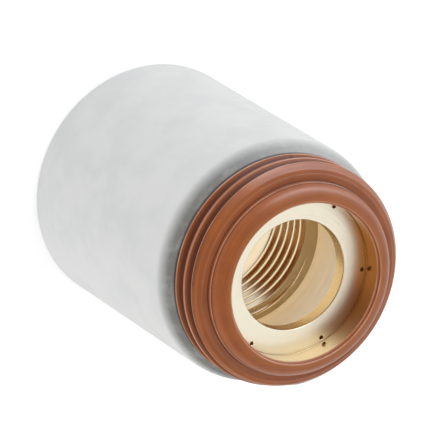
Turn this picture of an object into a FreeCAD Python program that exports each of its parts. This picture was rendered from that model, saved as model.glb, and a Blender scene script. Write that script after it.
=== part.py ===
"""Retaining cap of a plasma torch: moulded outer shell, insulating nose ring and turned brass liner.

The cap stands on its rear end. The origin is the centre of the rear face, +Z runs along the axis
to the nose, +X passes through a gas hole, and all sizes are in millimetres. Radii are stacked from
the liner's bores outwards, and heights from the shell's rear face and from the liner's front face.
"""

import FreeCAD, Part
import math
import os

from FreeCAD import Vector

# Fits
PRESS_CLEARANCE = 0.02
SEAT_CLEARANCE = 0.03

# Outer shell, lengths and edges
SHELL_LENGTH = 34.4
SHELL_RIM_WALL = 2.3
SHELL_FRONT_ROUND = 4.0
SHELL_FRONT_REACH = 2.85
SHELL_CHORD_COUNT = 4
SHELL_REAR_BEVEL = 0.35
SHELL_MOUTH_BEVEL = 0.4
SOCKET_DEPTH = 8.0

# Brass liner, radii and walls
LIP_BORE_RADIUS = 7.0
INNER_THREAD_MINOR_RADIUS = 9.69
INNER_THREAD_DEPTH = 0.81
REAR_BORE_RELIEF = 0.3
SLEEVE_WALL = 1.68
NOSE_WALL = 0.9
RIM_WALL = 1.25

# Brass liner, heights and edges; the face stands forward of the shell by FACE_RISE
LINER_RECESS = 0.6
FLANGE_THICKNESS = 1.6
FACE_RISE = 3.8
WEB_THICKNESS = 1.95
CHAMBER_LENGTH = 10.6
INNER_THREAD_LEAD = 1.9
INNER_THREAD_LENGTH = 8.0
RIM_HEIGHT = 2.9
REAR_MOUTH_BEVEL = 0.5
LIP_EDGE_BEVEL = 0.12
RIM_EDGE_BEVEL = 0.08

# Gas holes through the liner's web
GAS_HOLE_COUNT = 6
GAS_HOLE_DIAMETER = 0.5
GAS_HOLE_INSET = 0.5

# Nose ring, radii and walls
SPIGOT_WALL = 1.76
ROOT_RISE = 0.22
LEAD_IN_WIDTH = 0.66
CROWN_WIDTH = 0.49
SHOULDER_WIDTH = 0.9
STEP_LEDGE = 0.12
LIP_OVERHANG = 0.15

# Nose ring, heights and edges
COLLAR_GAP = 0.4
COLLAR_LAND = 0.25
RELIEF_WIDTH = 1.1
LEAD_IN_RISE = 0.05
LEAD_IN_HEIGHT = 0.95
CROWN_HEIGHT = 0.2
STEP_HEIGHT = 0.55
BEAD_ROUND = 1.65
BEAD_CHORD_COUNT = 5
LIP_THICKNESS = 0.5
LIP_EDGE = 0.12

# Outer thread for the shield, right-handed
THREAD_PITCH = 1.814
THREAD_DEPTH = 0.9
THREAD_CREST_WIDTH = 0.38
THREAD_ROOT_WIDTH = 0.25
THREAD_TURNS = 1.5
THREAD_START_ANGLE = 91.0

# Closeness at which edges of the thread's cut are taken as one
CUT_TOLERANCE = 0.0001

# Heights worked out from the sizes above
SHELL_STEP = SHELL_LENGTH - SOCKET_DEPTH
FLANGE_TOP = SHELL_STEP + FLANGE_THICKNESS
FACE = SHELL_LENGTH + FACE_RISE
WEB_REAR = FACE - WEB_THICKNESS
RIM_TOP = FACE + RIM_HEIGHT
LIP_UNDERSIDE = RIM_TOP + SEAT_CLEARANCE
COLLAR_REAR = SHELL_LENGTH + COLLAR_GAP
RELIEF_REAR = COLLAR_REAR + COLLAR_LAND

# Radii worked out from the sizes above
CHAMBER_RADIUS = INNER_THREAD_MINOR_RADIUS + INNER_THREAD_DEPTH
REAR_BORE_RADIUS = CHAMBER_RADIUS + REAR_BORE_RELIEF
SLEEVE_RADIUS = REAR_BORE_RADIUS + SLEEVE_WALL
LINER_NOSE_RADIUS = CHAMBER_RADIUS + NOSE_WALL
RECESS_RADIUS = LINER_NOSE_RADIUS - RIM_WALL
RING_BORE_RADIUS = LINER_NOSE_RADIUS + PRESS_CLEARANCE
SPIGOT_RADIUS = RING_BORE_RADIUS + SPIGOT_WALL
SOCKET_RADIUS = SPIGOT_RADIUS + PRESS_CLEARANCE
SHELL_RADIUS = SOCKET_RADIUS + SHELL_RIM_WALL
THREAD_ROOT_RADIUS = SPIGOT_RADIUS + ROOT_RISE
THREAD_RADIUS = THREAD_ROOT_RADIUS + THREAD_DEPTH


def rounded_edge(radius, height, arc_radius, reach, chords):
    """Corners of an outer edge's arc, as chords short enough to look true.

    The arc leaves the side at a tangent, reach below the height, and ends at the height.
    """
    sweep = math.asin(reach / arc_radius)
    corners = []
    for index in range(chords + 1):
        angle = sweep * index / chords
        corners.append((
            radius - arc_radius * (1 - math.cos(angle)),
            height - reach + arc_radius * math.sin(angle),
        ))
    return corners


def turned(corners):
    """Solid of revolution about the Z axis from the (radius, height) corners of its section."""
    points = [Vector(radius, 0, height) for radius, height in corners]
    face = Part.Face(Part.makePolygon(points + points[:1]))
    return face.revolve(Vector(0, 0, 0), Vector(0, 0, 1), 360)


def outer_shell():
    """Moulded grey sleeve: plain outside, stepped bore with a socket for the ring at the front."""
    bore_radius = SLEEVE_RADIUS + PRESS_CLEARANCE
    return turned([
        (bore_radius + SHELL_MOUTH_BEVEL, 0),
        (SHELL_RADIUS - SHELL_REAR_BEVEL, 0),
        (SHELL_RADIUS, SHELL_REAR_BEVEL),
        *rounded_edge(
            SHELL_RADIUS, SHELL_LENGTH, SHELL_FRONT_ROUND, SHELL_FRONT_REACH, SHELL_CHORD_COUNT),
        (SOCKET_RADIUS, SHELL_LENGTH),
        (SOCKET_RADIUS, SHELL_STEP),
        (bore_radius, SHELL_STEP),
        (bore_radius, SHELL_MOUTH_BEVEL),
    ])


def gas_holes():
    """Drills for the ring of gas holes, which pass through the web beside the recess wall."""
    drills = []
    for index in range(GAS_HOLE_COUNT):
        drill = Part.makeCylinder(
            GAS_HOLE_DIAMETER / 2,
            2 * WEB_THICKNESS,
            Vector(RECESS_RADIUS - GAS_HOLE_INSET, 0, FACE - 1.5 * WEB_THICKNESS),
        )
        drill.rotate(Vector(0, 0, 0), Vector(0, 0, 1), 360 * index / GAS_HOLE_COUNT)
        drills.append(drill)
    return drills


def brass_liner():
    """Turned brass body: flanged sleeve, inner thread's bore, gas chamber and a web with the lip bore."""
    chamber_rear = WEB_REAR - CHAMBER_LENGTH
    thread_front = chamber_rear - INNER_THREAD_LEAD
    thread_rear = thread_front - INNER_THREAD_LENGTH
    bore_front = thread_rear - (REAR_BORE_RADIUS - INNER_THREAD_MINOR_RADIUS)
    body = turned([
        (REAR_BORE_RADIUS + REAR_MOUTH_BEVEL, LINER_RECESS),
        (SLEEVE_RADIUS, LINER_RECESS),
        (SLEEVE_RADIUS, SHELL_STEP),
        (SPIGOT_RADIUS, SHELL_STEP),
        (SPIGOT_RADIUS, FLANGE_TOP),
        (LINER_NOSE_RADIUS, FLANGE_TOP),
        (LINER_NOSE_RADIUS, RIM_TOP),
        (RECESS_RADIUS + RIM_EDGE_BEVEL, RIM_TOP),
        (RECESS_RADIUS, RIM_TOP - RIM_EDGE_BEVEL),
        (RECESS_RADIUS, FACE),
        (LIP_BORE_RADIUS + LIP_EDGE_BEVEL, FACE),
        (LIP_BORE_RADIUS, FACE - LIP_EDGE_BEVEL),
        (LIP_BORE_RADIUS, WEB_REAR + LIP_EDGE_BEVEL),
        (LIP_BORE_RADIUS + LIP_EDGE_BEVEL, WEB_REAR),
        (CHAMBER_RADIUS, WEB_REAR),
        (CHAMBER_RADIUS, chamber_rear),
        (INNER_THREAD_MINOR_RADIUS, thread_front),
        (INNER_THREAD_MINOR_RADIUS, thread_rear),
        (REAR_BORE_RADIUS, bore_front),
        (REAR_BORE_RADIUS, LINER_RECESS + REAR_MOUTH_BEVEL),
    ])
    return body.cut(gas_holes())


def ring_body():
    """Nose ring before its thread is cut: spigot, collar, relief groove, shoulder, bead and lip."""
    flank = (THREAD_PITCH - THREAD_CREST_WIDTH - THREAD_ROOT_WIDTH) / 2
    relief_front = RELIEF_REAR + RELIEF_WIDTH
    lead_in = FACE + LEAD_IN_RISE
    crown = lead_in + LEAD_IN_HEIGHT
    crown_radius = THREAD_RADIUS - LEAD_IN_WIDTH
    shoulder = crown + CROWN_HEIGHT
    shoulder_radius = crown_radius - CROWN_WIDTH
    step_radius = shoulder_radius - SHOULDER_WIDTH
    bead_radius = step_radius - STEP_LEDGE
    lip_radius = RECESS_RADIUS - LIP_OVERHANG
    lip_top = LIP_UNDERSIDE + LIP_THICKNESS
    return turned([
        (RING_BORE_RADIUS, FLANGE_TOP),
        (SPIGOT_RADIUS, FLANGE_TOP),
        (SPIGOT_RADIUS, COLLAR_REAR),
        (THREAD_RADIUS, COLLAR_REAR),
        (THREAD_RADIUS, RELIEF_REAR),
        (THREAD_ROOT_RADIUS, RELIEF_REAR + flank),
        (THREAD_ROOT_RADIUS, relief_front - flank / 2),
        (THREAD_RADIUS, relief_front + flank / 2),
        (THREAD_RADIUS, lead_in),
        (crown_radius, crown),
        (shoulder_radius, shoulder),
        (step_radius, shoulder),
        (step_radius, shoulder + STEP_HEIGHT),
        (bead_radius, shoulder + STEP_HEIGHT),
        *rounded_edge(bead_radius, lip_top, BEAD_ROUND, BEAD_ROUND, BEAD_CHORD_COUNT),
        (lip_radius + LIP_EDGE, lip_top),
        (lip_radius, lip_top - LIP_EDGE),
        (lip_radius, LIP_UNDERSIDE),
        (RING_BORE_RADIUS, LIP_UNDERSIDE),
    ])


def thread_groove():
    """Cutter for the outer thread's groove, from inside the relief groove to its end on the lead-in."""
    root_half = THREAD_ROOT_WIDTH / 2
    crest_half = (THREAD_PITCH - THREAD_CREST_WIDTH) / 2
    overrun = THREAD_CREST_WIDTH / 2
    over_half = crest_half + overrun * (crest_half - root_half) / THREAD_DEPTH
    corners = [
        Vector(THREAD_ROOT_RADIUS, 0, -root_half),
        Vector(THREAD_RADIUS + overrun, 0, -over_half),
        Vector(THREAD_RADIUS + overrun, 0, over_half),
        Vector(THREAD_ROOT_RADIUS, 0, root_half),
    ]
    profile = Part.makePolygon(corners + corners[:1])
    helix = Part.makeHelix(THREAD_PITCH, THREAD_TURNS * THREAD_PITCH, THREAD_RADIUS)
    cutter = Part.Wire(helix.Edges).makePipeShell([profile], True, True)
    cutter.rotate(Vector(0, 0, 0), Vector(0, 0, 1), THREAD_START_ANGLE)
    cutter.translate(Vector(0, 0, RELIEF_REAR + RELIEF_WIDTH / 2))
    return cutter


def nose_ring():
    """Insulating ring: spigot in the shell, threaded band for a shield, shoulder and rounded bead."""
    return ring_body().cut([thread_groove()], CUT_TOLERANCE)


def main():
    """Write one STEP file for each piece of the cap."""
    os.makedirs("parts", exist_ok=True)
    pieces = {
        "outer_shell": outer_shell(),
        "brass_liner": brass_liner(),
        "nose_ring": nose_ring(),
    }
    for name, shape in pieces.items():
        shape.exportStep(f"parts/{name}.step")
        print(name, shape.isValid(), len(shape.Solids), round(shape.Volume, 2))


main()
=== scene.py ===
"""Looks of the retaining cap: grey moulded shell, brown threaded nose ring and turned brass liner.

Sizes are in millimetres in the cap's own frame, with the origin at the centre of the shell's rear
face and +Z along the axis towards the nose. Meshes are turned to metres as they are made.
"""

import logging
import math
from dataclasses import dataclass, field
from enum import Enum
from typing import Sequence, Union

import bmesh
import bpy
import numpy as np
from mathutils import Matrix, Vector


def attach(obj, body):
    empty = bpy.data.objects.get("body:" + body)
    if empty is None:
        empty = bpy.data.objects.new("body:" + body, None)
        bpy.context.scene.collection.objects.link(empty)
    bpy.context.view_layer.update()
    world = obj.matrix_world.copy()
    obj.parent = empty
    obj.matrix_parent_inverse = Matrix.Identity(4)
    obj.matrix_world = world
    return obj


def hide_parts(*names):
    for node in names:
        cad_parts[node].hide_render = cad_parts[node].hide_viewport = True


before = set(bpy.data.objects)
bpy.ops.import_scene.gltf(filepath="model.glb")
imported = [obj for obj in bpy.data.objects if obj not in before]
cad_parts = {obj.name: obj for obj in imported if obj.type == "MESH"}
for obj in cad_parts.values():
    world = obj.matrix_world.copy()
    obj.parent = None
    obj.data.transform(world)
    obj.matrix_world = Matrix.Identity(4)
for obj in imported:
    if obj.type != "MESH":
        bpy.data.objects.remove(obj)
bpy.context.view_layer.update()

log = logging.getLogger("cap")

MM = 0.001
GUARD = 0.015
CREASE = math.radians(38)
BODY = "root"

Colour = tuple[float, float, float]
Corner = tuple[float, ...]
Direction = tuple[float, float, float]
Socket = bpy.types.NodeSocket
Value = Union[float, Socket]


class Slot(Enum):
    """Material slots of the cap's record, one for each piece."""

    SHELL = "shell"
    RING = "ring"
    LINER = "liner"


class Node(Enum):
    """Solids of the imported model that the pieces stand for."""

    SHELL = "outer_shell"
    RING = "nose_ring"
    LINER = "brass_liner"


class Side(Enum):
    """Side of a wall that a thread is cut in, as the way its depth changes the radius."""

    OUTSIDE = -1
    INSIDE = 1


class Ray(Enum):
    """Kinds of ray that the studio tells apart."""

    CAMERA = "Is Camera Ray"
    GLOSSY = "Is Glossy Ray"
    TRANSMISSION = "Is Transmission Ray"


class Maths(Enum):
    """Operations of the maths node that the finishes and the studio use."""

    ADD = "ADD"
    MULTIPLY = "MULTIPLY"
    MAXIMUM = "MAXIMUM"


# Sections and meshes


def rounded(corners: Sequence[Corner], steps: int = 5) -> list[tuple[float, float]]:
    """Outline with arcs in place of the corners that state a radius.

    A point stands just outside each end of an arc, so that the straight runs shade as flat.

    Args:
        corners: Radius and height of each corner, and the radius of its edge where it has one.
        steps: Straight runs in each arc.

    Returns:
        Points of the outline in the order of the corners.
    """
    points: list[tuple[float, float]] = []
    count = len(corners)
    for index, corner in enumerate(corners):
        here = Vector(corner[:2])
        if len(corner) < 3:
            points.append((here.x, here.y))
            continue
        before = (Vector(corners[index - 1][:2]) - here).normalized()
        after = (Vector(corners[(index + 1) % count][:2]) - here).normalized()
        half = before.angle(after) / 2
        reach = corner[2] / math.tan(half)
        centre = here + (before + after).normalized() * (corner[2] / math.sin(half))
        start = here + before * reach - centre
        end = here + after * reach - centre
        turn = start.angle_signed(end)
        guard = here + before * (reach + GUARD)
        points.append((guard.x, guard.y))
        for step in range(steps + 1):
            angle = -turn * step / steps
            cosine, sine = math.cos(angle), math.sin(angle)
            points.append((
                centre.x + start.x * cosine - start.y * sine,
                centre.y + start.x * sine + start.y * cosine,
            ))
        guard = here + after * (reach + GUARD)
        points.append((guard.x, guard.y))
    return points


def rounded_edge(radius: float, height: float, arc_radius: float, reach: float,
                 steps: int = 16) -> list[Corner]:
    """Arc on an outer edge, which leaves the side at a tangent.

    Args:
        radius: Radius of the side.
        height: Height at which the arc ends.
        arc_radius: Radius of the arc.
        reach: Height that the arc takes of the side.
        steps: Straight runs in the arc.

    Returns:
        Radius and height of each point, from the side up.
    """
    angles = np.linspace(0, math.asin(reach / arc_radius), steps + 1)
    return [
        (radius - arc_radius * (1 - math.cos(angle)), height - reach + arc_radius * math.sin(angle))
        for angle in angles
    ]


def edge_strength(section: np.ndarray, reach: float) -> np.ndarray:
    """How far each point of a closed section stands out of its surroundings.

    Args:
        section: Radius and height of each point.
        reach: Length of outline on each side that counts as surroundings.

    Returns:
        One number for each point, from -1 in a corner, through 0 on a plain wall, to 1 on an edge.
    """
    following = np.roll(section, -1, axis=0)
    lengths = np.hypot(*(following - section).T)
    place = np.concatenate(([0.0], np.cumsum(lengths)))
    loop = np.vstack((section, section[:1]))
    sides = []
    for shift in (reach, -reach):
        at = (place[:-1] + shift) % place[-1]
        sides.append(np.stack([np.interp(at, place, loop[:, axis]) for axis in (0, 1)], axis=1))
    ahead, behind = sides
    along = ahead - behind
    length = np.maximum(np.hypot(*along.T), 1e-9)
    area = np.sum(section[:, 0] * following[:, 1] - following[:, 0] * section[:, 1])
    outward = np.stack((along[:, 1], -along[:, 0]), axis=1) / length[:, None] * np.sign(area)
    offset = section - (ahead + behind) / 2
    return np.clip(np.sum(offset * outward, axis=1) / (0.7 * reach), -1, 1)


def revolve(name: str, sections: Sequence[np.ndarray], reach: float) -> bpy.types.Object:
    """Closed mesh through sections that stand at even angles round the axis.

    Args:
        name: Name of the new object.
        sections: Sections from angle 0 to a full turn, both ends included, in millimetres.
        reach: Reach of the edge attribute, in millimetres.

    Returns:
        The object, smooth where it is round, with a point attribute named edge.
    """
    rows = len(sections)
    count = len(sections[0])
    angles = np.linspace(0, 2 * math.pi, rows)
    stack = np.stack(sections)
    points = np.stack((
        stack[:, :, 0] * np.cos(angles)[:, None],
        stack[:, :, 0] * np.sin(angles)[:, None],
        stack[:, :, 1],
    ), axis=2).reshape(-1, 3) * MM
    strengths = np.concatenate([edge_strength(section, reach) for section in sections])
    row, column = np.meshgrid(np.arange(rows - 1), np.arange(count), indexing="ij")
    right = (column + 1) % count
    faces = np.stack((
        row * count + column,
        row * count + right,
        (row + 1) * count + right,
        (row + 1) * count + column,
    ), axis=2).reshape(-1, 4)
    mesh = bpy.data.meshes.new(name)
    mesh.from_pydata(points.tolist(), [], faces.tolist())
    mesh.attributes.new("edge", "FLOAT", "POINT").data.foreach_set("value", strengths)
    piece = bpy.data.objects.new(name, mesh)
    bpy.context.scene.collection.objects.link(piece)
    close(mesh)
    return piece


def close(mesh: bpy.types.Mesh) -> None:
    """Merge the points of a mesh that meet, turn its faces outwards and shade its rounds smooth."""
    shape = bmesh.new()
    shape.from_mesh(mesh)
    bmesh.ops.remove_doubles(shape, verts=shape.verts, dist=2e-7)
    bmesh.ops.dissolve_degenerate(shape, edges=shape.edges, dist=1e-7)
    bmesh.ops.recalc_face_normals(shape, faces=shape.faces)
    for face in shape.faces:
        face.smooth = True
    shape.to_mesh(mesh)
    shape.free()
    mesh.set_sharp_from_angle(angle=CREASE)


@dataclass(frozen=True)
class ThreadGroove:
    """Helical groove of a right-handed thread, with straight flanks and a flat root."""

    pitch: float
    depth: float
    root_half: float
    flank_run: float
    first_middle: float
    start_angle: float
    end_angle: float
    start_fade: float
    end_fade: float

    def turns(self) -> np.ndarray:
        """Numbers of the turns that can reach the threaded wall, with one spare at each end."""
        return np.arange(-1, math.ceil((self.end_angle + self.end_fade) / 360) + 1)

    def middles(self, angle: float) -> np.ndarray:
        """Height of each turn's middle at an angle in degrees."""
        along = angle + 360 * self.turns() - self.start_angle
        return self.first_middle + self.pitch * along / 360

    def depths(self, angle: float) -> np.ndarray:
        """Depth of each turn at an angle, which runs out over the fade at both ends."""
        along = angle + 360 * self.turns()
        rise = np.clip((along - self.start_angle + self.start_fade) / self.start_fade, 0, 1)
        fall = np.clip((self.end_angle + self.end_fade - along) / self.end_fade, 0, 1)
        return self.depth * np.minimum(rise, fall)

    def cut(self, heights: np.ndarray, angle: float) -> np.ndarray:
        """Depth of the groove at each height, below zero where the wall is whole.

        Args:
            heights: Heights along the wall.
            angle: Angle round the axis in degrees.

        Returns:
            The deepest turn's depth at each height.
        """
        away = np.abs(heights[:, None] - self.middles(angle)[None, :]) - self.root_half
        flank = np.maximum(away, 0) * self.depth / self.flank_run
        return np.max(self.depths(angle)[None, :] - flank, axis=1)

    def breaks(self, angle: float) -> np.ndarray:
        """Heights at which the groove's section turns a corner."""
        middles = self.middles(angle)
        mouth = self.root_half + self.flank_run * self.depths(angle) / self.depth
        return np.concatenate((
            middles - mouth, middles - self.root_half, middles + self.root_half, middles + mouth,
        ))


@dataclass(frozen=True)
class ThreadedWall:
    """Wall of revolution with a thread groove in it, and small rounds on all of its edges."""

    heights: tuple[float, ...]
    radii: tuple[float, ...]
    crest_radius: float
    groove: ThreadGroove
    side: Side
    edge_round: float
    offsets: tuple[float, ...]

    def radius(self, heights: np.ndarray, angle: float) -> np.ndarray:
        """Sharp radius of the wall at each height, with the groove cut in it."""
        plain = np.interp(heights, self.heights, self.radii)
        cut = self.crest_radius + self.side.value * self.groove.cut(heights, angle)
        return np.maximum(plain, cut) if self.side is Side.INSIDE else np.minimum(plain, cut)

    def section(self, angle: float, more_breaks: Sequence[float] = ()) -> np.ndarray:
        """Section of the wall from its lowest to its highest point.

        Args:
            angle: Angle round the axis in degrees.
            more_breaks: Heights of further corners, where the groove meets a slope of the wall.

        Returns:
            Radius and height of each point, as many at every angle.
        """
        breaks = np.concatenate((self.heights, self.groove.breaks(angle), more_breaks))
        places = (breaks[:, None] + np.array(self.offsets) * self.edge_round).ravel()
        places = np.sort(np.clip(places, self.heights[0], self.heights[-1]))
        weights = ((-1.0, 1), (-0.5, 2), (0.0, 2), (0.5, 2), (1.0, 1))
        radii = sum(
            weight * self.radius(places + shift * self.edge_round, angle)
            for shift, weight in weights
        ) / sum(weight for _, weight in weights)
        return np.stack((radii, places), axis=1)


# Finishes


class Sheet:
    """Node sheet, with short calls for the nodes that the finishes and the studio share."""

    def __init__(self, tree: bpy.types.NodeTree) -> None:
        """Take the tree that the nodes go in."""
        self.tree = tree

    def put(self, socket: Socket, value: Union[Value, Colour]) -> None:
        """Link a socket's source to it, or write a plain value on it."""
        if isinstance(value, bpy.types.NodeSocket):
            self.tree.links.new(value, socket)
        elif isinstance(value, tuple) and len(socket.default_value) == 4:
            socket.default_value = (*value, 1.0)
        else:
            socket.default_value = value

    def maths(self, operation: Maths, first: Value, second: Value, clamp: bool = False) -> Socket:
        """Result of one sum on two values.

        Args:
            operation: The sum.
            first: Its first value.
            second: Its second value.
            clamp: Whether the result is kept between 0 and 1.

        Returns:
            Output of the maths node.
        """
        node = self.tree.nodes.new("ShaderNodeMath")
        node.operation = operation.value
        node.use_clamp = clamp
        self.put(node.inputs[0], first)
        self.put(node.inputs[1], second)
        return node.outputs[0]

    def spread(self, value: Value, low: float, high: float, to: tuple[float, float]) -> Socket:
        """Value moved smoothly from one range to another.

        Args:
            value: The value.
            low: Lower end of its range.
            high: Upper end of its range.
            to: Results at the two ends.

        Returns:
            Output of the range node.
        """
        node = self.tree.nodes.new("ShaderNodeMapRange")
        node.interpolation_type = "SMOOTHSTEP"
        for socket, given in zip(node.inputs, (value, low, high, to[0], to[1])):
            self.put(socket, given)
        return node.outputs[0]

    def mix(self, amount: Value, first: Union[Socket, Colour], second: Union[Socket, Colour]) -> Socket:
        """Colour between two colours.

        Args:
            amount: Share of the second colour.
            first: Colour at 0.
            second: Colour at 1.

        Returns:
            Output of the mix node.
        """
        node = self.tree.nodes.new("ShaderNodeMix")
        node.data_type = "RGBA"
        self.put(node.inputs[0], amount)
        self.put(node.inputs[6], first)
        self.put(node.inputs[7], second)
        return node.outputs[2]

    def ray(self, kinds: Sequence[Ray]) -> Socket:
        """One for rays of the given kinds, and zero for all others."""
        path = self.tree.nodes.new("ShaderNodeLightPath")
        total = path.outputs[kinds[0].value]
        for kind in kinds[1:]:
            total = self.maths(Maths.MAXIMUM, total, path.outputs[kind.value])
        return total

    def place(self) -> Socket:
        """Place on the object, in metres."""
        return self.tree.nodes.new("ShaderNodeTexCoord").outputs["Object"]

    def heading(self) -> Socket:
        """Unit vector from the scene to a point of the surroundings."""
        return self.tree.nodes.new("ShaderNodeTexCoord").outputs["Generated"]

    def towards(self, vector: Socket, direction: Direction, edges: tuple[float, float]) -> Socket:
        """Share that rises as a vector turns or moves in a direction.

        Args:
            vector: The vector.
            direction: Unit vector of the direction.
            edges: Lengths of the vector along the direction at which the share starts and is full.

        Returns:
            Share from 0 to 1.
        """
        facing = self.tree.nodes.new("ShaderNodeVectorMath")
        facing.operation = "DOT_PRODUCT"
        self.put(facing.inputs[0], vector)
        self.put(facing.inputs[1], direction)
        return self.spread(facing.outputs["Value"], *edges, (0.0, 1.0))


class FinishSheet(Sheet):
    """Node sheet of one finish."""

    def __init__(self, name: str) -> None:
        """Start a material with one surface shader."""
        self.material = bpy.data.materials.new(name)
        self.material.use_nodes = True
        super().__init__(self.material.node_tree)
        self.shader = self.tree.nodes["Principled BSDF"]

    def attribute(self, name: str) -> Socket:
        """Number that a mesh attribute holds."""
        node = self.tree.nodes.new("ShaderNodeAttribute")
        node.attribute_name = name
        return node.outputs["Fac"]

    def cloud(self, cell: float, detail: float = 2.0, roughness: float = 0.5) -> Socket:
        """Even noise with cells of a size in millimetres.

        Args:
            cell: Size of the largest cells.
            detail: Number of finer layers.
            roughness: Strength of the finer layers.

        Returns:
            Noise from 0 to 1.
        """
        node = self.tree.nodes.new("ShaderNodeTexNoise")
        self.put(node.inputs["Vector"], self.place())
        self.put(node.inputs["Scale"], 1 / (cell * MM))
        self.put(node.inputs["Detail"], detail)
        self.put(node.inputs["Roughness"], roughness)
        return node.outputs["Fac"]

    def radius(self) -> Socket:
        """Distance from the axis, in millimetres."""
        flat = self.tree.nodes.new("ShaderNodeVectorMath")
        flat.operation = "MULTIPLY"
        self.put(flat.inputs[0], self.place())
        self.put(flat.inputs[1], (1 / MM, 1 / MM, 0.0))
        length = self.tree.nodes.new("ShaderNodeVectorMath")
        length.operation = "LENGTH"
        self.put(length.inputs[0], flat.outputs[0])
        return length.outputs["Value"]

    def height(self) -> Socket:
        """Height above the rear face, in millimetres."""
        parts = self.tree.nodes.new("ShaderNodeSeparateXYZ")
        self.put(parts.inputs[0], self.place())
        return self.maths(Maths.MULTIPLY, parts.outputs[2], 1 / MM)

    def turned(self, spacing: float, wander: float, detail: float = 3.0) -> Socket:
        """Marks of turning: noise drawn out round the axis.

        Args:
            spacing: Typical distance between marks across the cut, in millimetres.
            wander: How often a mark changes round the axis.
            detail: Number of finer layers.

        Returns:
            Noise from 0 to 1.
        """
        heading = self.tree.nodes.new("ShaderNodeVectorMath")
        heading.operation = "MULTIPLY"
        self.put(heading.inputs[0], self.place())
        self.put(heading.inputs[1], (1.0, 1.0, 0.0))
        unit = self.tree.nodes.new("ShaderNodeVectorMath")
        unit.operation = "NORMALIZE"
        self.put(unit.inputs[0], heading.outputs[0])
        parts = self.tree.nodes.new("ShaderNodeSeparateXYZ")
        self.put(parts.inputs[0], unit.outputs[0])
        joined = self.tree.nodes.new("ShaderNodeCombineXYZ")
        self.put(joined.inputs[0], self.maths(Maths.MULTIPLY, self.radius(), 1 / spacing))
        self.put(joined.inputs[1], self.maths(Maths.MULTIPLY, parts.outputs[0], wander))
        self.put(joined.inputs[2], self.maths(Maths.MULTIPLY, parts.outputs[1], wander))
        node = self.tree.nodes.new("ShaderNodeTexNoise")
        node.noise_dimensions = "4D"
        self.put(node.inputs["Vector"], joined.outputs[0])
        self.put(node.inputs["W"], self.maths(Maths.MULTIPLY, self.height(), 1 / spacing))
        self.put(node.inputs["Scale"], 1.0)
        self.put(node.inputs["Detail"], detail)
        return node.outputs["Fac"]

    def relief(self, layers: Sequence[tuple[Socket, float]]) -> None:
        """Raise the surface by several patterns, each with its depth in millimetres."""
        normal = None
        for pattern, depth in layers:
            node = self.tree.nodes.new("ShaderNodeBump")
            self.put(node.inputs["Height"], pattern)
            self.put(node.inputs["Distance"], depth * MM)
            if normal is not None:
                self.put(node.inputs["Normal"], normal)
            normal = node.outputs["Normal"]
        self.put(self.shader.inputs["Normal"], normal)

    def surface(self, **values: Union[Value, Colour]) -> bpy.types.Material:
        """Set the shader's sockets by name, with underscores for spaces, and return the material."""
        for name, value in values.items():
            self.put(self.shader.inputs[name.replace("_", " ")], value)
        return self.material


@dataclass(frozen=True)
class MouldedShellFinish:
    """Matte glass-filled plastic in pale grey, nicked, with painted shade on the front roll that is
    darkest on one side.
    """

    grey: Colour = (0.765, 0.775, 0.77)
    cloudy_grey: Colour = (0.72, 0.735, 0.735)
    # Painted shade on the front roll, with a little darker grey of the plastic: darker on one side,
    # lighter on the other.
    shaded_side_roll_grey: Colour = (0.225, 0.228, 0.218)
    brighter_side_roll_grey: Colour = (0.48, 0.48, 0.47)
    # Side towards which the roll's painted shade darkens, and the edges of that change.
    roll_shaded_side: Direction = (-0.966, -0.259, 0.0)
    roll_shaded_side_edges: tuple[float, float] = (-0.011, 0.008)
    # Painted shadow: near black where the ring's collar shades the shell.
    gap_shadow: Colour = (0.06, 0.053, 0.05)
    nick: Colour = (0.22, 0.22, 0.21)
    roughness: float = 0.62

    def material(self) -> bpy.types.Material:
        """Build the material: clouds in the grey, a fine grain, painted shade on the roll and a painted
        shadow under the ring's collar.
        """
        sheet = FinishSheet("shell_moulding")
        clouds = sheet.spread(sheet.cloud(5.0, 4.0, 0.6), 0.35, 0.68, (0.0, 1.0))
        skin = sheet.mix(clouds, self.grey, self.cloudy_grey)
        grain = sheet.cloud(0.16, 3.0, 0.6)
        roll = sheet.attribute("front_roll")
        marks = sheet.turned(0.12, 2.5)
        # Pattern that breaks up the roll's painted shade with the plain grey.
        shade_breakup = sheet.maths(Maths.MULTIPLY, sheet.spread(marks, 0.3, 0.7, (0.4, 1.0)),
                             sheet.spread(sheet.cloud(1.6, 3.0), 0.45, 0.7, (0.0, 0.22)))
        # Painted shade: the roll is darker towards one side.
        shaded_side = sheet.towards(sheet.place(), self.roll_shaded_side, self.roll_shaded_side_edges)
        painted_light_mix = sheet.mix(shaded_side, self.brighter_side_roll_grey, self.shaded_side_roll_grey)
        painted_light_mix = sheet.mix(shade_breakup, painted_light_mix, skin)
        skin = sheet.mix(roll, skin, painted_light_mix)
        chips = sheet.maths(
            Maths.MULTIPLY,
            sheet.spread(sheet.cloud(0.7, 2.0, 0.7), 0.70, 0.76, (0.0, 1.0)),
            roll,
        )
        skin = sheet.mix(sheet.maths(Maths.MULTIPLY, chips, 0.6), skin, self.nick)
        # Painted shadow under the collar, on the shaded side only.
        gap_shadow = sheet.maths(Maths.MULTIPLY, sheet.attribute("gap_shadow"), shaded_side)
        skin = sheet.mix(gap_shadow, skin, self.gap_shadow)
        sheet.relief([
            (sheet.cloud(2.4, 3.0), 0.012),
            (grain, 0.012),
            (sheet.maths(Maths.MULTIPLY, marks, roll), 0.005),
        ])
        return sheet.surface(
            Base_Color=skin,
            Roughness=sheet.spread(grain, 0.2, 0.8, (self.roughness - 0.07, self.roughness + 0.08)),
            Specular_IOR_Level=0.4,
        )


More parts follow.
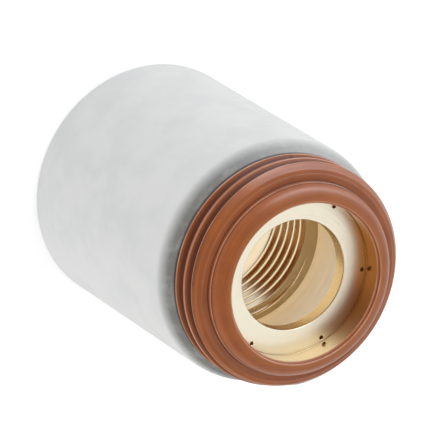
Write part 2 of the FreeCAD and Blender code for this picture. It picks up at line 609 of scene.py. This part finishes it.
@dataclass(frozen=True)
class RingFinish:
    """Satin brown plastic, turned, with paler edges that are painted highlight and partly rubbed wear,
    and painted shade in corners and grooves.
    """

    brown: Colour = (0.40, 0.108, 0.020)
    deep_brown: Colour = (0.31, 0.080, 0.016)
    orange: Colour = (0.48, 0.138, 0.022)
    # Paler edge colour: painted highlight on the convex edges, with some rubbed wear.
    highlit_rubbed_edge: Colour = (0.66, 0.36, 0.24)
    # Painted shade in concave corners.
    corner: Colour = (0.11, 0.030, 0.014)
    # Painted shade in the thread's grooves.
    groove: Colour = (0.07, 0.020, 0.014)
    roughness: float = 0.42

    def material(self) -> bpy.types.Material:
        """Build the material: turned streaks, an orange lip, painted highlights on rubbed edges and
        painted shade in corners and grooves.
        """
        sheet = FinishSheet("ring_moulding")
        streaks = sheet.turned(0.35, 1.2, 4.0)
        fine = sheet.turned(0.07, 3.0)
        clouds = sheet.cloud(3.2, 4.0, 0.6)
        tone = sheet.maths(Maths.ADD, sheet.maths(Maths.MULTIPLY, streaks, 0.55),
                           sheet.maths(Maths.MULTIPLY, clouds, 0.45))
        skin = sheet.mix(sheet.spread(tone, 0.36, 0.64, (0.0, 1.0)), self.deep_brown, self.brown)
        lip = sheet.spread(sheet.radius(), 10.0, 11.4, (0.75, 0.0))
        skin = sheet.mix(lip, skin, self.orange)
        edge = sheet.attribute("edge")
        # Painted highlight on convex edges, broken up by turned noise.
        edge_highlight = sheet.spread(edge, 0.18, 0.75, (0.0, 1.0))
        painted_light_mix = sheet.spread(sheet.turned(0.5, 4.0), 0.3, 0.6, (0.45, 1.0))
        skin = sheet.mix(sheet.maths(Maths.MULTIPLY, edge_highlight, painted_light_mix), skin, self.highlit_rubbed_edge)
        # Painted shade in concave corners.
        recess_shade = sheet.spread(edge, -0.15, -0.8, (0.0, 0.8))
        skin = sheet.mix(recess_shade, skin, self.corner)
        # Painted shade in the thread's grooves, darker where they are deeper.
        recess_shade = sheet.spread(sheet.attribute("groove"), 0.04, 0.5, (0.0, 0.75))
        skin = sheet.mix(recess_shade, skin, self.groove)
        sheet.relief([(clouds, 0.012), (streaks, 0.010), (fine, 0.004)])
        return sheet.surface(
            Base_Color=skin,
            Roughness=sheet.spread(tone, 0.3, 0.7, (self.roughness + 0.08, self.roughness - 0.05)),
            Specular_IOR_Level=0.5,
            Sheen_Weight=0.3,
            Sheen_Roughness=0.45,
        )


@dataclass(frozen=True)
class BrassFinish:
    """Pale turned brass, satin on the web's face; brighter in the bores and the thread by painted
    light, with a satin finish in the chamber as well.
    """

    face: Colour = (0.92, 0.87, 0.71)
    # Paler brass in the chamber: partly a satin finish, partly painted light.
    chamber: Colour = (0.95, 0.84, 0.69)
    wall: Colour = (0.92, 0.75, 0.49)
    # Brighter brass in the thread's groove: painted highlight.
    thread: Colour = (0.92, 0.83, 0.62)
    tarnish: Colour = (0.62, 0.42, 0.18)
    # Painted shade in concave corners.
    corner: Colour = (0.20, 0.11, 0.04)
    # Painted highlight on convex edges.
    lit_edge: Colour = (0.98, 0.86, 0.66)
    face_roughness: float = 0.34
    chamber_roughness: float = 0.45
    wall_roughness: float = 0.20
    # Painted shade inside the gas holes.
    hole_shade: Colour = (0.55, 0.34, 0.17)

    def material(self) -> bpy.types.Material:
        """Build the material: turning marks, tarnish, painted shade in corners and holes, painted
        highlights on edges.
        """
        sheet = FinishSheet("turned_brass")
        face = sheet.attribute("face")
        chamber = sheet.attribute("chamber")
        marks = sheet.turned(0.16, 1.0, 4.0)
        fine = sheet.turned(0.05, 2.0)
        clouds = sheet.cloud(2.2, 4.0, 0.6)
        # Zone colours: the thread's and the chamber's carry painted light.
        base = sheet.mix(sheet.attribute("thread"), self.wall, self.thread)
        base = sheet.mix(face, sheet.mix(chamber, base, self.chamber), self.face)
        stained = sheet.spread(clouds, 0.5, 0.8, (0.0, 0.08))
        base = sheet.mix(stained, base, self.tarnish)
        base = sheet.mix(sheet.spread(marks, 0.5, 0.8, (0.0, 0.06)), base, self.tarnish)
        edge = sheet.attribute("edge")
        # Painted shade in concave corners.
        base = sheet.mix(sheet.spread(edge, -0.2, -0.85, (0.0, 0.8)), base, self.corner)
        # Painted highlight on convex edges.
        base = sheet.mix(sheet.spread(edge, 0.3, 0.9, (0.0, 0.6)), base, self.lit_edge)
        # Painted shade inside the gas holes.
        base = sheet.mix(sheet.attribute("hole_shade"), base, self.hole_shade)
        rough = sheet.spread(chamber, 0.0, 1.0, (self.wall_roughness, self.chamber_roughness))
        rough = sheet.spread(face, 0.0, 1.0, (rough, self.face_roughness))
        rough = sheet.maths(Maths.ADD, rough, sheet.spread(marks, 0.3, 0.7, (-0.04, 0.05)))
        sheet.relief([(marks, 0.0012), (fine, 0.0006)])
        return sheet.surface(Base_Color=base, Metallic=1.0, Roughness=rough)


# Pieces


def tag(piece: bpy.types.Object, name: str, values: np.ndarray) -> None:
    """Write one number for each point of a piece as a mesh attribute."""
    data = piece.data.attributes.new(name, "FLOAT", "POINT").data
    data.foreach_set("value", values.astype(np.float32))


def polar(piece: bpy.types.Object) -> tuple[np.ndarray, np.ndarray, np.ndarray]:
    """Radius and height in millimetres, and angle, of each point of a piece."""
    flat = np.empty(len(piece.data.vertices) * 3, np.float32)
    piece.data.vertices.foreach_get("co", flat)
    points = flat.reshape(-1, 3) / MM
    angles = np.arctan2(points[:, 1], points[:, 0])
    return np.hypot(points[:, 0], points[:, 1]), points[:, 2], angles


def seat(piece: bpy.types.Object, node: Node, material: bpy.types.Material) -> None:
    """Dress a piece and set it in the frame.

    Args:
        piece: The finished piece.
        node: Solid that it stands for.
        material: Its finish.
    """
    piece.data.materials.clear()
    piece.data.materials.append(material)
    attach(piece, BODY)
    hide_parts(node.value)
    faces = sum(len(face.vertices) - 2 for face in piece.data.polygons)
    log.info("%s stands for %s, %d triangles", piece.name, node.value, faces)


@dataclass
class OuterShell:
    """Grey moulded sleeve with a rounded front edge and a stepped bore."""

    radius: float = 15.5
    length: float = 34.4
    front_round: float = 4.0
    front_reach: float = 2.85
    rear_bevel: float = 0.35
    mouth_bevel: float = 0.4
    bore_radius: float = 12.5
    socket_radius: float = 13.2
    socket_depth: float = 8.0
    # Heights over which the front roll's painted shade rises to full.
    roll_shade_from: float = 32.1
    roll_shade_full: float = 33.8
    # Reach of the painted shadow under the ring's collar.
    gap_shadow_radius: float = 14.22
    gap_shadow_fade: float = 0.1
    gap_shadow_depth: float = 0.3
    socket_edge: float = 0.2
    edge_reach: float = 0.15
    columns: int = 360
    finish: MouldedShellFinish = field(default_factory=MouldedShellFinish)

    def outline(self) -> np.ndarray:
        """Closed section of the sleeve."""
        step = self.length - self.socket_depth
        *roll, last = rounded_edge(self.radius, self.length, self.front_round, self.front_reach)
        return np.array(rounded([
            (self.bore_radius + self.mouth_bevel, 0, 0.08),
            (self.radius - self.rear_bevel, 0, 0.15),
            (self.radius, self.rear_bevel, 0.15),
            (self.radius, 12.0),
            (self.radius, 24.0),
            *roll,
            (*last, 0.2),
            (self.socket_radius, self.length, 0.08),
            (self.socket_radius, step),
            (self.bore_radius, step),
            (self.bore_radius, self.mouth_bevel),
        ], steps=8))

    def build(self) -> bpy.types.Object:
        """Make, tag and dress the sleeve."""
        sections = [self.outline()] * (self.columns + 1)
        piece = revolve("shell_sleeve", sections, self.edge_reach)
        radii, heights, _ = polar(piece)
        # Share of the roll's painted shade at each point.
        rise = (heights - self.roll_shade_from) / (self.roll_shade_full - self.roll_shade_from)
        outside = radii > self.socket_radius + self.socket_edge
        tag(piece, "front_roll", np.clip(rise, 0, 1) * outside)
        # Painted shadow under the collar, fading out away from the ring.
        inward = np.clip((self.gap_shadow_radius - radii) / self.gap_shadow_fade, 0, 1)
        tag(piece, "gap_shadow", (heights > self.length - self.gap_shadow_depth) * inward)
        seat(piece, Node.SHELL, self.finish.material())
        return piece


@dataclass
class NoseRing:
    """Brown ring: spigot, collar, relief groove, coarse thread, shoulder, bead and inner lip."""

    bore_radius: float = 11.42
    spigot_radius: float = 13.18
    spigot_base: float = 28.0
    collar_rear: float = 34.8
    collar_land: float = 0.25
    collar_bevel: float = 0.07
    thread_radius: float = 14.3
    root_radius: float = 13.4
    relief_width: float = 1.1
    flank_run: float = 0.592
    lead_in: float = 38.25
    crown_radius: float = 13.64
    crown_height: float = 39.2
    shoulder_radius: float = 13.15
    shoulder_height: float = 39.4
    shoulder_bevel_height: float = 0.05
    shoulder_bevel_width: float = 0.07
    shoulder_tuck: float = 0.02
    step_radius: float = 12.25
    step_height: float = 39.95
    bead_radius: float = 12.13
    bead_round: float = 1.65
    lip_top: float = 41.63
    lip_radius: float = 10.0
    lip_underside: float = 41.13
    # How far the grooves' painted shade runs past the lead-in.
    dark_past_lead_in: float = 0.4
    edge_reach: float = 0.14
    columns: int = 440
    groove: ThreadGroove = field(default_factory=lambda: ThreadGroove(
        pitch=1.814, depth=0.9, root_half=0.125, flank_run=0.592, first_middle=35.6,
        start_angle=91.0, end_angle=631.0, start_fade=6.0, end_fade=7.0,
    ))
    finish: RingFinish = field(default_factory=RingFinish)

    def wall(self) -> ThreadedWall:
        """Outside of the ring from the collar to the shoulder."""
        relief = self.collar_rear + self.collar_land
        front = relief + self.relief_width
        return ThreadedWall(
            heights=(
                self.collar_rear, self.collar_rear + self.collar_bevel, relief,
                relief + self.flank_run, front - self.flank_run / 2, front + self.flank_run / 2,
                self.lead_in, self.crown_height,
                self.shoulder_height - self.shoulder_bevel_height, self.shoulder_height,
            ),
            radii=(
                self.thread_radius - self.collar_bevel, self.thread_radius, self.thread_radius,
                self.root_radius, self.root_radius, self.thread_radius,
                self.thread_radius, self.crown_radius,
                self.shoulder_radius + self.shoulder_bevel_width,
                self.shoulder_radius - self.shoulder_tuck,
            ),
            crest_radius=self.thread_radius,
            groove=self.groove,
            side=Side.OUTSIDE,
            edge_round=0.055,
            offsets=(-1.2, -1.0, -0.4, 0.4, 1.0, 1.2),
        )

    def meetings(self, angle: float) -> list[float]:
        """Heights where the groove meets the relief groove's front flank and the lead-in."""
        relief_foot = self.collar_rear + self.collar_land + self.relief_width - self.flank_run / 2
        slope = (self.thread_radius - self.root_radius) / self.flank_run
        fall = (self.thread_radius - self.crown_radius) / (self.crown_height - self.lead_in)
        heights = []
        for middle in self.groove.middles(angle):
            heights.append((relief_foot + middle - self.groove.root_half) / 2)
            rise = (middle + self.groove.root_half) * slope + self.lead_in * fall
            meeting = (self.thread_radius - self.root_radius + rise) / (slope + fall)
            heights.append(min(max(meeting, self.lead_in), self.shoulder_height))
        return heights

    def build(self) -> bpy.types.Object:
        """Make, tag and dress the ring."""
        rear = rounded([
            (self.lip_radius, self.lip_underside),
            (self.bore_radius, self.lip_underside),
            (self.bore_radius, self.spigot_base),
            (self.spigot_radius, self.spigot_base),
            (self.spigot_radius, self.collar_rear),
        ])
        front = rounded([
            (self.step_radius + 0.3, self.shoulder_height),
            (self.step_radius, self.shoulder_height, 0.06),
            (self.step_radius, self.step_height, 0.04),
            (self.bead_radius, self.step_height, 0.03),
            (self.bead_radius, self.lip_top, self.bead_round),
            (self.lip_radius, self.lip_top, 0.15),
        ], steps=7)
        wall = self.wall()
        sections = []
        for angle in np.linspace(0, 360, self.columns + 1):
            band = wall.section(angle, self.meetings(angle))
            sections.append(np.vstack((rear, band, front)))
        piece = revolve("nose_ring_turning", sections, self.edge_reach)
        radii, heights, _ = polar(piece)
        # Groove depth, which carries the painted shade in the grooves.
        depth = (self.thread_radius - radii) / (self.thread_radius - self.root_radius)
        threaded = (heights > self.collar_rear) * (heights < self.lead_in + self.dark_past_lead_in)
        tag(piece, "groove", np.clip(depth, 0, 1) * threaded)
        seat(piece, Node.RING, self.finish.material())
        return piece


@dataclass
class BrassLiner:
    """Turned brass liner: threaded bore, gas chamber, web with lip bore, gas holes and rim."""

    recess_rear: float = 0.6
    rear_bore_radius: float = 10.8
    mouth_bevel: float = 0.5
    sleeve_radius: float = 12.48
    flange_rear: float = 26.4
    flange_front: float = 28.0
    flange_radius: float = 13.18
    nose_radius: float = 11.4
    rim_top: float = 41.1
    recess_radius: float = 10.15
    face_height: float = 38.2
    web_rear: float = 36.25
    lip_bore_radius: float = 7.0
    chamber_radius: float = 10.5
    chamber_rear: float = 25.65
    thread_front: float = 23.75
    thread_rear: float = 15.75
    minor_radius: float = 9.69
    gas_hole_count: int = 6
    gas_hole_radius: float = 0.25
    gas_circle: float = 9.65
    gas_hole_flare: float = 0.06
    drill_sides: int = 24
    # Share of the chamber's painted light on the cone.
    cone_share: float = 0.6
    near: float = 0.05
    edge_reach: float = 0.12
    columns: int = 400
    groove: ThreadGroove = field(default_factory=lambda: ThreadGroove(
        pitch=1.5, depth=0.81, root_half=0.094, flank_run=0.468, first_middle=14.3,
        start_angle=0.0, end_angle=2400.0, start_fade=20.0, end_fade=200.0,
    ))
    finish: BrassFinish = field(default_factory=BrassFinish)

    def wall(self) -> ThreadedWall:
        """Inside of the bore from the rear bore's cone to the gas chamber."""
        cone = self.rear_bore_radius - self.minor_radius
        return ThreadedWall(
            heights=(
                self.thread_rear - cone, self.thread_rear - cone / 2, self.thread_rear,
                self.thread_front, self.chamber_rear,
            ),
            radii=(
                self.rear_bore_radius, self.minor_radius + cone / 2, self.minor_radius,
                self.minor_radius, self.chamber_radius,
            ),
            crest_radius=self.minor_radius,
            groove=self.groove,
            side=Side.INSIDE,
            edge_round=0.035,
            offsets=(-1.2, -1.0, 0.0, 1.0, 1.2),
        )

    def drills(self) -> bpy.types.Object:
        """Cutter for the gas holes: six drills with a small flare at the web's face."""
        shape = bmesh.new()
        low, high = self.web_rear - 0.6, self.face_height + 0.3
        flare = self.face_height - 0.05
        mouth = self.gas_hole_radius + self.gas_hole_flare
        rings = ((low, self.gas_hole_radius), (flare, self.gas_hole_radius),
                 (self.face_height + 0.02, mouth), (high, mouth))
        half_turn = self.drill_sides / 2
        for index in range(self.gas_hole_count):
            turn = Matrix.Rotation(2 * math.pi * index / self.gas_hole_count, 4, "Z")
            loops = []
            for height, radius in rings:
                loops.append([
                    shape.verts.new(turn @ Vector((
                        self.gas_circle + radius * math.cos(step * math.pi / half_turn),
                        radius * math.sin(step * math.pi / half_turn),
                        height,
                    )) * MM) for step in range(self.drill_sides)
                ])
            shape.faces.new(loops[0][::-1])
            shape.faces.new(loops[-1])
            for below, above in zip(loops, loops[1:]):
                for step in range(self.drill_sides):
                    after = (step + 1) % self.drill_sides
                    shape.faces.new((below[step], below[after], above[after], above[step]))
        mesh = bpy.data.meshes.new("gas_drills")
        shape.to_mesh(mesh)
        shape.free()
        cutter = bpy.data.objects.new("gas_drills", mesh)
        bpy.context.scene.collection.objects.link(cutter)
        return cutter

    def drill(self, piece: bpy.types.Object) -> None:
        """Cut the gas holes through the web of the liner."""
        cutter = self.drills()
        modifier = piece.modifiers.new("gas_holes", "BOOLEAN")
        modifier.operation = "DIFFERENCE"
        modifier.solver = "EXACT"
        modifier.object = cutter
        graph = bpy.context.evaluated_depsgraph_get()
        drilled = bpy.data.meshes.new_from_object(piece.evaluated_get(graph))
        piece.modifiers.clear()
        piece.data = drilled
        bpy.data.objects.remove(cutter)
        for face in drilled.polygons:
            face.use_smooth = True
        drilled.set_sharp_from_angle(angle=CREASE)

    def mark(self, piece: bpy.types.Object) -> None:
        """Tag the web's face, the chamber, the thread's groove and the gas holes' walls."""
        radii, heights, angles = polar(piece)
        on_face = np.clip((heights - self.face_height + 0.08) / 0.05, 0, 1) \
            * (radii < self.recess_radius - self.near)
        inside = (heights < self.web_rear + self.near) * (radii < self.nose_radius - 0.5)
        in_chamber = np.clip((heights - self.chamber_rear + 0.06) / 0.1, 0, 1) * inside
        cone = np.interp(heights, (self.thread_front, self.chamber_rear),
                         (self.minor_radius, self.chamber_radius))
        on_cone = (heights > self.thread_front - self.near) * (np.abs(radii - cone) < 0.04) * inside
        in_groove = (radii > self.minor_radius + 0.03) * (heights < self.thread_front + 0.3)
        spacing = 2 * math.pi / self.gas_hole_count
        off_hole = (angles + spacing / 2) % spacing - spacing / 2
        from_hole = np.hypot(radii * np.cos(off_hole) - self.gas_circle, radii * np.sin(off_hole))
        in_web = (heights > self.web_rear - 0.1) * (heights < self.face_height - 0.03)
        # The gas holes' walls carry painted shade.
        tag(piece, "hole_shade", (from_hole < self.gas_hole_radius + 0.03) * in_web)
        tag(piece, "face", on_face)
        # The chamber and thread tags carry painted light.
        tag(piece, "chamber", np.maximum(in_chamber, self.cone_share * on_cone))
        tag(piece, "thread", inside * in_groove * (heights > self.thread_rear))

    def build(self) -> bpy.types.Object:
        """Make, drill, tag and dress the liner."""
        outside = rounded([
            (self.rear_bore_radius + self.mouth_bevel, self.recess_rear, 0.06),
            (self.sleeve_radius, self.recess_rear, 0.12),
            (self.sleeve_radius, self.flange_rear),
            (self.flange_radius, self.flange_rear),
            (self.flange_radius, self.flange_front),
            (self.nose_radius, self.flange_front),
            (self.nose_radius, self.rim_top, 0.1),
            (self.recess_radius, self.rim_top, 0.1),
            (self.recess_radius, self.face_height, 0.08),
            (self.recess_radius - 1.2, self.face_height),
            (self.lip_bore_radius + 1.0, self.face_height),
            (self.lip_bore_radius, self.face_height, 0.12),
            (self.lip_bore_radius, self.web_rear, 0.12),
            (self.chamber_radius, self.web_rear, 0.1),
            (self.chamber_radius, self.chamber_rear + 5.0),
        ])
        inside = rounded([
            (self.rear_bore_radius, self.thread_rear - 3.0),
            (self.rear_bore_radius, self.recess_rear + self.mouth_bevel),
        ])
        wall = self.wall()
        sections = [
            np.vstack((outside, wall.section(angle)[::-1], inside))
            for angle in np.linspace(0, 360, self.columns + 1)
        ]
        piece = revolve("brass_liner_turning", sections, self.edge_reach)
        self.drill(piece)
        self.mark(piece)
        seat(piece, Node.LINER, self.finish.material())
        return piece


# Studio


@dataclass(frozen=True)
class Softbox:
    """Lamp that looks at the cap from one side, as light, in reflections or both."""

    name: str
    place: tuple[float, float, float]
    width: float
    height: float
    power: float
    lights: bool = True
    mirrored: bool = True
    colour: Colour = (1.0, 1.0, 1.0)
    target: tuple[float, float, float] = (0.0, 0.0, 20.0)

    def build(self) -> None:
        """Hang the lamp and turn it to the cap."""
        lamp = bpy.data.lights.new(self.name, "AREA")
        lamp.shape = "RECTANGLE"
        lamp.size, lamp.size_y = self.width * MM, self.height * MM
        lamp.energy = self.power
        lamp.color = self.colour
        holder = bpy.data.objects.new(self.name, lamp)
        holder.visible_diffuse = self.lights
        holder.visible_glossy = self.mirrored
        holder.location = Vector(self.place) * MM
        aim = (Vector(self.target) - Vector(self.place)).normalized()
        holder.rotation_euler = aim.to_track_quat("-Z", "Y").to_euler()
        bpy.context.scene.collection.objects.link(holder)


@dataclass
class Studio:
    """White table top, pale surroundings, softboxes and the camera at the photograph's angle."""

    table_radius: float = 1400.0
    table: Colour = (0.93, 0.93, 0.93)
    white: Colour = (1.0, 1.0, 1.0)
    shown_white: float = 1.0
    table_lift: float = 0.36
    table_sides: int = 96
    table_drop: float = 0.01
    daylight: Colour = (0.8, 0.8, 0.8)
    daylight_past_camera: Colour = (0.42, 0.42, 0.42)
    past_camera: Direction = (-0.478, 0.294, 0.828)
    past_camera_edges: tuple[float, float] = (0.50, 0.90)
    room: Colour = (0.38, 0.165, 0.055)
    room_side: Direction = (-0.966, -0.259, 0.0)
    room_edges: tuple[float, float] = (-0.10, -0.02)
    corner: Colour = (0.15, 0.038, 0.006)
    corner_towards: Direction = (-0.4284, 0.3594, 0.829)
    corner_edges: tuple[float, float] = (0.85, 0.93)
    table_room: Colour = (0.66, 0.57, 0.47)
    table_room_edges: tuple[float, float] = (0.018, 0.045)
    softboxes: tuple[Softbox, ...] = (
        Softbox("key_softbox", (120.0, 640.0, 240.0), 420.0, 420.0, 1.5),
        Softbox("low_softbox", (-560.0, -330.0, 110.0), 360.0, 360.0, 1.45, mirrored=False),
        Softbox("edge_strip", (307.0, 629.0, 130.0), 1100.0, 240.0, 5.2, lights=False,
                colour=(0.62, 0.8, 1.0)),
    )
    lens: float = 511.508
    camera_place: tuple[float, float, float] = (-370.17284, 228.45699, 660.27064)
    camera_right: tuple[float, float, float] = (0.87565066, 0.08821345, 0.4748203)
    camera_up: tuple[float, float, float] = (0.06655318, 0.95175487, -0.29955525)
    camera_view: tuple[float, float, float] = (0.47833733, -0.29390656, -0.82753389)

    def surroundings(self) -> None:
        """Make the surroundings: plain light, and a dim room on one side in reflections."""
        world = bpy.data.worlds.new("studio")
        bpy.context.scene.world = world
        world.use_nodes = True
        sheet = Sheet(world.node_tree)
        heading = sheet.heading()
        behind = sheet.towards(heading, self.past_camera, self.past_camera_edges)
        room = sheet.towards(heading, self.room_side, self.room_edges)
        corner = sheet.towards(heading, self.corner_towards, self.corner_edges)
        light = sheet.mix(behind, self.daylight, self.daylight_past_camera)
        mirrored = sheet.mix(corner, self.room, self.corner)
        mirrored = sheet.mix(room, self.white, mirrored)
        colour = sheet.mix(sheet.ray((Ray.GLOSSY, Ray.TRANSMISSION)), light, mirrored)
        colour = sheet.mix(sheet.ray((Ray.CAMERA,)), colour, self.white)
        background = sheet.tree.nodes["Background"]
        sheet.put(background.inputs[0], colour)
        sheet.put(background.inputs[1], self.shown_white)

    def floor(self) -> bpy.types.Object:
        """Make the round white table top under the cap."""
        mesh = bpy.data.meshes.new("table_top")
        radius, height = self.table_radius * MM, -self.table_drop * MM
        turns = np.linspace(0, 2 * math.pi, self.table_sides + 1)[:-1]
        rim = [(radius * math.cos(angle), radius * math.sin(angle), height) for angle in turns]
        mesh.from_pydata(rim, [], [list(range(len(rim)))])
        table = bpy.data.objects.new("table_top", mesh)
        bpy.context.scene.collection.objects.link(table)
        sheet = FinishSheet("white_table")
        mesh.materials.append(sheet.surface(Base_Color=self.table, Roughness=0.9,
                                            Specular_IOR_Level=0.0))
        lift = sheet.maths(Maths.MULTIPLY, sheet.ray((Ray.CAMERA,)), self.table_lift)
        glow = sheet.tree.nodes.new("ShaderNodeEmission")
        sheet.put(glow.inputs[1], lift)
        lit = sheet.tree.nodes.new("ShaderNodeAddShader")
        sheet.put(lit.inputs[0], sheet.shader.outputs[0])
        sheet.put(lit.inputs[1], glow.outputs[0])
        white = sheet.tree.nodes.new("ShaderNodeEmission")
        side = sheet.towards(sheet.place(), self.room_side, self.table_room_edges)
        sheet.put(white.inputs[0], sheet.mix(side, self.white, self.table_room))
        sheet.put(white.inputs[1], self.shown_white)
        joined = sheet.tree.nodes.new("ShaderNodeMixShader")
        sheet.put(joined.inputs[0], sheet.ray((Ray.GLOSSY, Ray.TRANSMISSION)))
        sheet.put(joined.inputs[1], lit.outputs[0])
        sheet.put(joined.inputs[2], white.outputs[0])
        sheet.put(sheet.tree.nodes["Material Output"].inputs[0], joined.outputs[0])
        return table

    def camera(self) -> bpy.types.Object:
        """Set the camera where the photograph was taken from."""
        data = bpy.data.cameras.new("photo_camera")
        data.lens = self.lens
        data.sensor_width = 36.0
        data.clip_start, data.clip_end = 0.02, 20.0
        camera = bpy.data.objects.new("photo_camera", data)
        back = -Vector(self.camera_view)
        axes = Matrix((Vector(self.camera_right), Vector(self.camera_up), back)).transposed()
        camera.matrix_world = Matrix.Translation(Vector(self.camera_place) * MM) @ axes.to_4x4()
        bpy.context.scene.collection.objects.link(camera)
        bpy.context.scene.camera = camera
        return camera

    def build(self) -> None:
        """Make the table, the surroundings, the lamps and the camera."""
        bpy.context.scene.view_settings.view_transform = "Standard"
        self.surroundings()
        self.floor()
        for softbox in self.softboxes:
            softbox.build()
        self.camera()


def main() -> None:
    """Build the studio and the three pieces in order, and report each piece."""
    logging.basicConfig(level=logging.INFO, format="%(name)s: %(message)s")
    Studio().build()
    for part in (OuterShell(), BrassLiner(), NoseRing()):
        piece = part.build()
        log.info("%s built with %d points", piece.name, len(piece.data.vertices))


if __name__ == "__main__":
    main()
